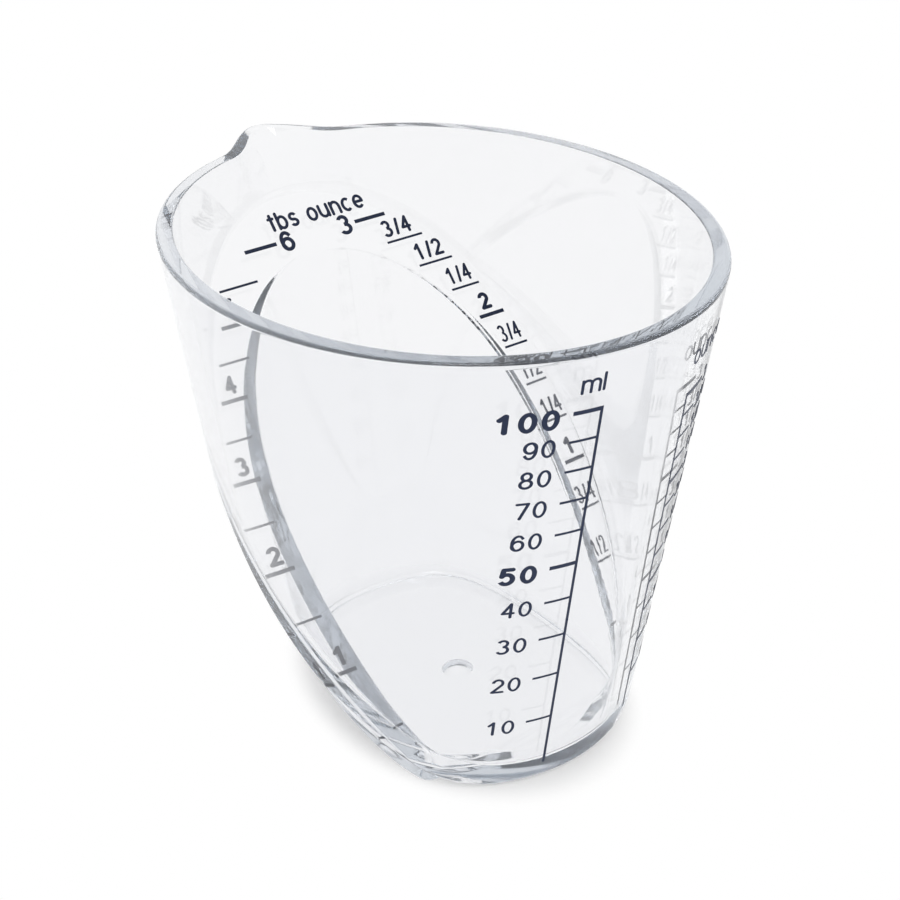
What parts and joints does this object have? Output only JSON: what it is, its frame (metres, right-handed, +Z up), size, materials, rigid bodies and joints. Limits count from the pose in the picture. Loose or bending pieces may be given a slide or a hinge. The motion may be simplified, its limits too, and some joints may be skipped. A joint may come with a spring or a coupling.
{
  "type": "angled measuring cup",
  "caption": "Small clear plastic angled measuring cup with a pouring spout and an inclined ledge, with printed volume scales on the wall and the ledge.",
  "frame": {"origin": "centre of the bounding box at the underside of the base, on the table", "axes": "+Z up out of the cup, X in the plane of symmetry with the spout at -X and the ledge's low end at +X, Y across the cup"},
  "size_m": [0.0798, 0.0588, 0.062],
  "materials": {
    "clear_plastic": "clear polished moulding",
    "navy_ink": "dark navy printing ink with a slight gloss"
  },
  "bodies": {
    "root": {"cup_body": "clear_plastic", "wall_millilitre_graduations": "navy_ink", "wall_millilitre_numbers": "navy_ink", "wall_millilitre_unit_word": "navy_ink", "wall_ounce_graduations": "navy_ink", "wall_ounce_numbers": "navy_ink", "wall_ounce_unit_word": "navy_ink", "ledge_tablespoon_graduations": "navy_ink", "ledge_tablespoon_numbers": "navy_ink", "ledge_tablespoon_unit_word": "navy_ink", "ledge_ounce_graduations": "navy_ink", "ledge_ounce_numbers": "navy_ink", "ledge_ounce_unit_word": "navy_ink"}
  },
  "joints": []
}
